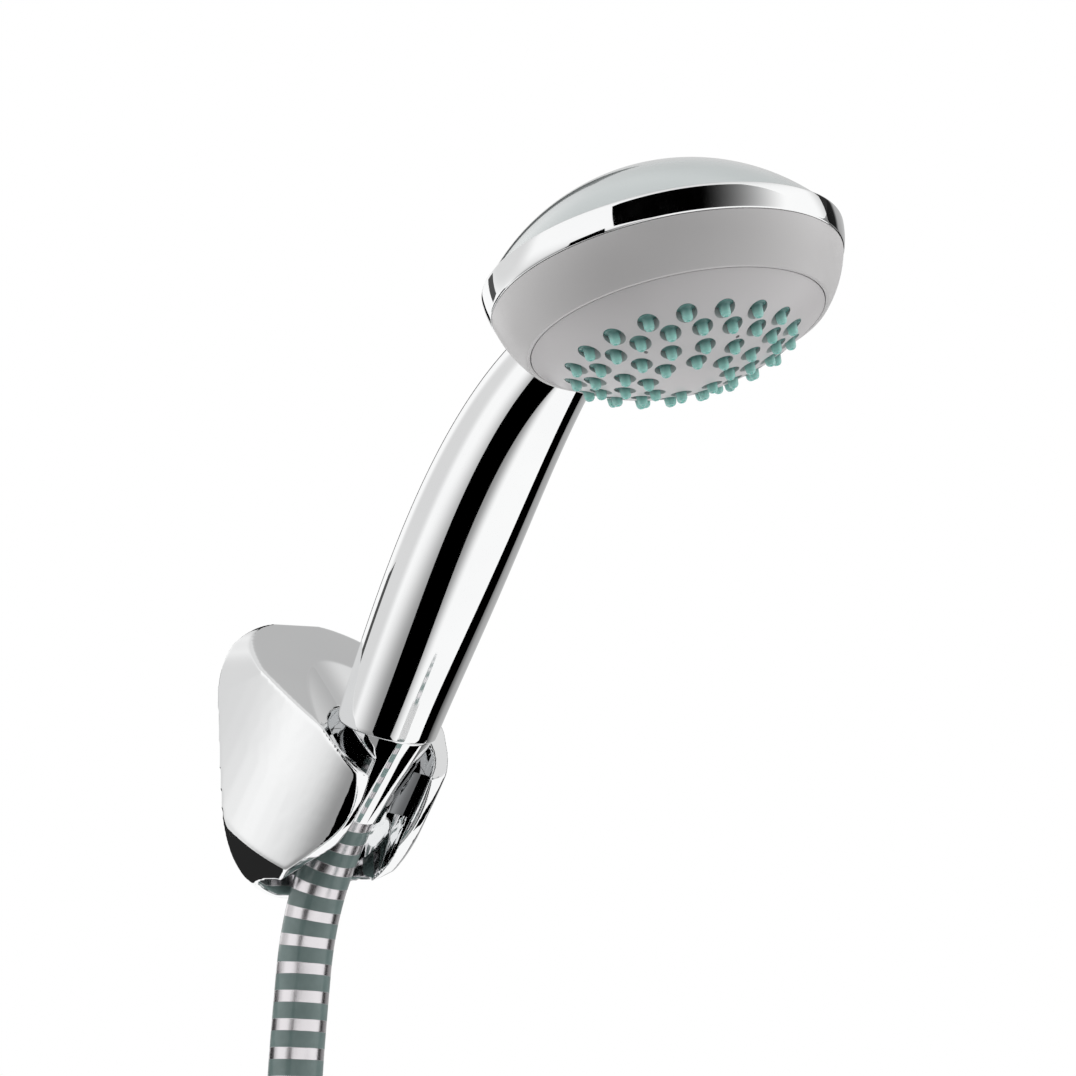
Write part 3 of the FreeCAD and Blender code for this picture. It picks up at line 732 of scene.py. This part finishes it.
def buildHandle():
    s = handleSize
    ys, zs = np.array(s["line"]).T
    steps = np.concatenate(([0], np.cumsum(np.hypot(np.diff(ys), np.diff(zs)))))
    yFit, zFit, rFit = (np.polynomial.Polynomial.fit(steps, values, s["fitDegree"])
                        for values in (ys, zs, s["radii"]))
    ySlope, zSlope = yFit.deriv(), zFit.deriv()
    skew = Matrix.Rotation(math.radians(-s["endSkew"]), 3, "X") @ Vector((0, 0, 1))
    planeNormal = seatPlace.to_3x3() @ skew
    planePoint = seatPlace @ Vector((0, 0, s["endUp"]))

    def onBar(t, angle, inset=0.0):
        tangent = Vector((0, ySlope(t), zSlope(t))).normalized()
        side = Vector((1, 0, 0))
        other = tangent.cross(side)
        r = rFit(t) - inset
        return Vector((0, yFit(t), zFit(t))) + (side * math.cos(angle) + other * math.sin(angle)) * r

    def endOf(angle, inset):
        low, high = s["endRange"]
        for _ in range(s["halvings"]):
            t = (low + high) / 2
            if (onBar(t, angle, inset) - planePoint).dot(planeNormal) > 0:
                high = t
            else:
                low = t
        return high

    angles = [2 * math.pi * j / s["sides"] for j in range(s["sides"])]
    starts = [endOf(a, 0) for a in angles]
    rows = []
    # Mouth: inner wall, flat end, rounded edge
    lip = rFit(0) - s["mouthR"]
    for rise in (s["mouthDepth"], s["lipRise"]):
        rows.append([onBar(t + rise, a, lip) for t, a in zip(starts, angles)])
    soft = s["lipEdge"]
    for k in range(4):
        q = math.pi / 2 * k / 3
        rows.append([onBar(t + soft - soft * math.sin(q), a, lip - soft + soft * math.cos(q))
                     for t, a in zip(starts, angles)])
    for k in range(7):
        q = math.pi / 2 * k / 6
        rows.append([onBar(t + s["edge"] * (1 - math.cos(q)), a, s["edge"] * (1 - math.sin(q)))
                     for t, a in zip(starts, angles)])
    for i in range(1, s["rings"] + 1):
        share = i / s["rings"]
        rows.append([onBar((t + s["edge"]) * (1 - share) + steps[-1] * share, a)
                     for t, a in zip(starts, angles)])
    handle = gridPiece("handleBar", rows)
    work = bmesh.new()
    work.from_mesh(handle.data)
    work.verts.ensure_lookup_table()
    count = s["sides"]
    last = len(rows) * count - count
    work.faces.new([work.verts[last + j] for j in range(count)])
    work.faces.new([work.verts[j] for j in reversed(range(count))])
    work.to_mesh(handle.data)
    work.free()
    tidyMesh(handle, s["crease"])
    return finishPiece(handle, "handset", chrome, ("handle_shell",))


nutSize = {"footR": 8.4, "topR": 11.7, "length": 27.1, "boreR": 7.5, "chestR": 9.0, "threadR": 10.0,
           "shoulderUp": 14.0, "threadUp": 19.1}


def buildNut():
    s = nutSize
    profile = [(s["boreR"], 0), (s["footR"], 0), (s["topR"], s["length"]), (s["threadR"], s["length"]),
               (s["threadR"], s["threadUp"]), (s["chestR"], s["threadUp"]), (s["chestR"], s["shoulderUp"]),
               (s["boreR"], s["shoulderUp"])]
    nut = turned("hoseNut", roundCorners(profile, [0.2, 0.5, 0.5, 0.2, 0, 0, 0, 0]), seatPlace, 192, 30)
    return finishPiece(nut, "handset", chrome, ("cone_nut",))


buildHandle()
buildNut()
print("handle and nut ready")


holderLook = {"voxel": 0.34, "smooth": 22, "factor": 0.5}


def buildHolder():
    holder = copyOfNode("holder_shell", "holderBody")
    remesh = holder.modifiers.new("remesh", "REMESH")
    remesh.mode = "VOXEL"
    remesh.voxel_size = holderLook["voxel"] * mm
    remesh.use_smooth_shade = True
    soften = holder.modifiers.new("soften", "SMOOTH")
    soften.factor = holderLook["factor"]
    soften.iterations = holderLook["smooth"]
    bakeModifiers(holder)
    holder.data.shade_smooth()
    return finishPiece(holder, "holder", chrome, ("holder_shell",))


buildHolder()
print("holder ready")


def newGroup(name, inputs):
    # Geometry node group with these named inputs; values are set on them by identifier
    tree = bpy.data.node_groups.new(name, "GeometryNodeTree")
    tree.interface.new_socket("Geometry", in_out="OUTPUT", socket_type="NodeSocketGeometry")
    sockets = {}
    for key, kind in inputs:
        socket = tree.interface.new_socket(key, in_out="INPUT", socket_type="NodeSocket" + kind)
        sockets[key] = socket.identifier
    return tree, sockets, tree.nodes.new("NodeGroupInput")


def closeGroup(tree, start, geometry):
    # Makes the copies real and paints them
    real = addNode(tree, "GeometryNodeRealizeInstances", {"Geometry": geometry})
    paint = addNode(tree, "GeometryNodeSetMaterial", {"Geometry": real.outputs[0],
                                                      "Material": start.outputs["Finish"]})
    end = tree.nodes.new("NodeGroupOutput")
    tree.links.new(paint.outputs[0], end.inputs[0])


def grownPiece(name, tree, sockets, values):
    piece = linkMesh(name, bpy.data.meshes.new(name))
    modifier = piece.modifiers.new(name, "NODES")
    modifier.node_group = tree
    for key, value in values.items():
        modifier[sockets[key]] = value
    return bakeModifiers(piece)


nozzleSize = {
    # ring radius, how many, first angle from the front
    "rings": [(26.0, 18, 1.0), (21.5, 18, 10.0), (15.4, 12, 5.0), (9.8, 8, -30.0)],
    "rootR": 1.35,
    "tipR": 1.12,
    "proud": 1.9,
    "jetR": 0.42,
    "cupR": 2.38,
    "cupDepth": 1.6,
    "flange": (0.4, -0.35),  # the mat's ring behind the cup's floor, up and down
    "skirt": 0.5,
    "rootFlare": 0.25,
    "rootRise": 0.9,
    "tipFlare": 0.06,
    "tipRise": 0.5,
    "tipEdge": 0.35,
    "jetDepth": 0.9,
    "sides": 18,
    "crease": 50,
}


def nozzleShape():
    s = nozzleSize
    floor, tip = s["cupDepth"], -s["proud"]
    up, down = s["flange"]
    profile = [(axisR, floor + up), (s["cupR"], floor + up), (s["cupR"], floor + down),
               (s["cupR"] - s["skirt"], floor - s["skirt"]),
               (s["rootR"] + s["rootFlare"], floor - s["skirt"]),
               (s["rootR"], floor - s["rootRise"]), (s["tipR"] + s["tipFlare"], tip + s["tipRise"]),
               (s["tipR"] - s["tipEdge"], tip), (s["jetR"], tip), (s["jetR"], tip + s["jetDepth"]),
               (axisR, tip + s["jetDepth"])]
    soft = [0, 0.1, 0.2, 0.2, 0.25, 0.25, 0.3, 0.3, 0.1, 0, 0]
    shape = turned("nozzleShape", roundCorners(profile, soft, 2), Matrix.Identity(4),
                   s["sides"], s["crease"])
    depth = shape.data.attributes.new("depth", "FLOAT", "POINT")  # painted shade: darkens the silicone down in its cup
    for vertex, slot in zip(shape.data.vertices, depth.data):
        slot.value = min(max(vertex.co.z / mm + 0.5, 0), 1)
    return shape


def nozzleTree():
    # Nozzles stand on circles of the disc's ball face
    rings = range(1, len(nozzleSize["rings"]) + 1)
    inputs = [("Nozzle", "Object"), ("Ball radius", "Float"), ("Ball centre", "Float"),
              ("Finish", "Material")]
    for i in rings:
        inputs += [("Ring radius %d" % i, "Float"), ("Count %d" % i, "Int"),
                   ("First angle %d" % i, "Float")]
    tree, sockets, start = newGroup("nozzleField", inputs)

    def math2(kind, first, second=0.0):
        return addNode(tree, "ShaderNodeMath", {0: first, 1: second}, operation=kind).outputs[0]

    shape = addNode(tree, "GeometryNodeObjectInfo", {"Object": start.outputs["Nozzle"]})
    join = tree.nodes.new("GeometryNodeJoinGeometry")
    ball = start.outputs["Ball radius"]
    for i in rings:
        radius = start.outputs["Ring radius %d" % i]
        circle = addNode(tree, "GeometryNodeMeshCircle", {"Vertices": start.outputs["Count %d" % i],
                                                          "Radius": radius})
        turn = addNode(tree, "ShaderNodeCombineXYZ", {"Z": start.outputs["First angle %d" % i]})
        drop = math2("SUBTRACT", math2("MULTIPLY", ball, ball), math2("MULTIPLY", radius, radius))
        height = math2("SUBTRACT", start.outputs["Ball centre"], math2("SQRT", drop))
        lift = addNode(tree, "ShaderNodeCombineXYZ", {"Z": height})
        placedRing = addNode(tree, "GeometryNodeTransform", {"Geometry": circle.outputs["Mesh"],
                                                             "Translation": lift.outputs[0],
                                                             "Rotation": turn.outputs[0]})
        scatter = addNode(tree, "GeometryNodeInstanceOnPoints", {"Points": placedRing.outputs[0],
                                                                 "Instance": shape.outputs["Geometry"]})
        tree.links.new(scatter.outputs[0], join.inputs[0])
    closeGroup(tree, start, join.outputs[0])
    return tree, sockets


def buildNozzles():
    shape = nozzleShape()
    tree, sockets = nozzleTree()
    baseR = shellSize["frontR"] - shellSize["lip"] - shellSize["gap"]
    ball = (baseR ** 2 + discSize["height"] ** 2) / (2 * discSize["height"])
    centre = -shellSize["height"] - discSize["height"] + ball
    values = {"Nozzle": shape, "Ball radius": ball * mm, "Ball centre": centre * mm, "Finish": silicone}
    for i, (radius, count, first) in enumerate(nozzleSize["rings"], 1):
        values["Ring radius %d" % i] = radius * mm
        values["Count %d" % i] = count
        values["First angle %d" % i] = math.radians(first - 90)
    field = grownPiece("nozzleField", tree, sockets, values)
    bpy.data.objects.remove(shape)
    field.data.transform(Matrix.Translation(Vector(head["centre"]) * mm)
                         @ Matrix.Rotation(math.radians(head["tilt"]), 4, "X"))
    return finishPiece(field, "handset", silicone, ("nozzle_mat",))


def buildDisc():
    disc = copyOfNode("spray_disc", "sprayDisc")
    tidyMesh(disc, discSize["crease"])
    return finishPiece(disc, "handset", discSatin, ("spray_disc",))


buildNozzles()
buildDisc()
print("spray face ready")


outletSize = {
    "bodyR": 12.15, "collarR": 11.0, "boreR": 7.5, "chestR": 9.0, "threadR": 10.3, "roomR": 10.6,
    "shoulder": 10.5, "slope": 1.6, "ledge": 12.9, "washerUp": 16.1, "threadUp": 18.1, "top": 27.1,
    "ribs": 36, "ribR": 0.42, "ribLength": 10.5, "ribUp": 13.6,
}
tailY = -hoseSize["radius"] - hoseSize["wallGap"] - hoseSize["coilRadius"] - hoseSize["tail"]
tailPlace = Matrix.Translation(Vector((hoseSize["turnGap"] / 2, tailY,
                                       hoseSize["coilCentreZ"] - hoseSize["coilRadius"])))
tailPlace = tailPlace @ Matrix.Rotation(math.radians(90), 4, "X")


def ribTree():
    # Grip ribs stand round the nut, each a copy of one bar
    tree, sockets, start = newGroup("gripRibs", [("Body", "Object"), ("Rib", "Object"), ("Ribs", "Int"),
                                                 ("Ring radius", "Float"), ("Finish", "Material")])
    body = addNode(tree, "GeometryNodeObjectInfo", {"Object": start.outputs["Body"]})
    rib = addNode(tree, "GeometryNodeObjectInfo", {"Object": start.outputs["Rib"]})
    circle = addNode(tree, "GeometryNodeMeshCircle", {"Vertices": start.outputs["Ribs"],
                                                      "Radius": start.outputs["Ring radius"]})
    scatter = addNode(tree, "GeometryNodeInstanceOnPoints", {"Points": circle.outputs["Mesh"],
                                                             "Instance": rib.outputs["Geometry"]})
    join = tree.nodes.new("GeometryNodeJoinGeometry")
    tree.links.new(scatter.outputs[0], join.inputs[0])
    tree.links.new(body.outputs["Geometry"], join.inputs[0])
    closeGroup(tree, start, join.outputs[0])
    return tree, sockets


def buildOutletNut():
    s = outletSize
    profile = [(s["boreR"], s["shoulder"]), (s["collarR"], s["shoulder"]),
               (s["bodyR"], s["shoulder"] + s["slope"]), (s["bodyR"], s["top"]),
               (s["threadR"], s["top"]), (s["threadR"], s["threadUp"]),
               (s["roomR"], s["threadUp"]), (s["roomR"], s["washerUp"]), (s["chestR"], s["washerUp"]),
               (s["chestR"], s["ledge"]), (s["boreR"], s["ledge"])]
    soft = [0.2, 0.5, 0.5, 0.7, 0.4, 0, 0, 0, 0, 0, 0]
    flat = Matrix.Identity(4)
    body = turned("nutBody", roundCorners(profile, soft), flat, 144)
    low, high = s["ribUp"], s["ribUp"] + s["ribLength"]
    bar = [(axisR, low), (s["ribR"], low), (s["ribR"], high), (axisR, high)]
    rib = turned("nutRib", roundCorners(bar, [0, 0.4, 0.4, 0], 4), flat, 12)
    tree, sockets = ribTree()
    nut = grownPiece("outletNut", tree, sockets, {"Body": body, "Rib": rib, "Ribs": s["ribs"],
                                                  "Ring radius": s["bodyR"] * mm, "Finish": chrome})
    for spare in (body, rib):
        bpy.data.objects.remove(spare)
    nut.data.transform(tailPlace.to_3x3().to_4x4())
    nut.data.transform(Matrix.Translation(tailPlace.translation * mm))
    return finishPiece(nut, "outlet", chrome, ("outlet_nut",))


buildOutletNut()
print("outlet nut ready")


nodeFinish = {
    "wall_plate": innerPlastic, "cradle_liner": linerPlate, "filter_washer": sealRubber,
    "inlet_connector": innerPlastic, "flow_limiter": innerPlastic, "water_tube": innerPlastic,
    "head_chamber": innerPlastic, "distributor_plate": innerPlastic, "chamber_seal": sealRubber,
    "hose_ferrule_top": chrome, "hose_barb_top": brass, "coil_tie": strapPlastic,
    "hose_ferrule_end": chrome, "hose_barb_end": brass, "outlet_washer": sealRubber,
}
for node, material in nodeFinish.items():  # these keep their own shape
    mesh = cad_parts[node].data
    mesh.materials.clear()
    mesh.materials.append(material)
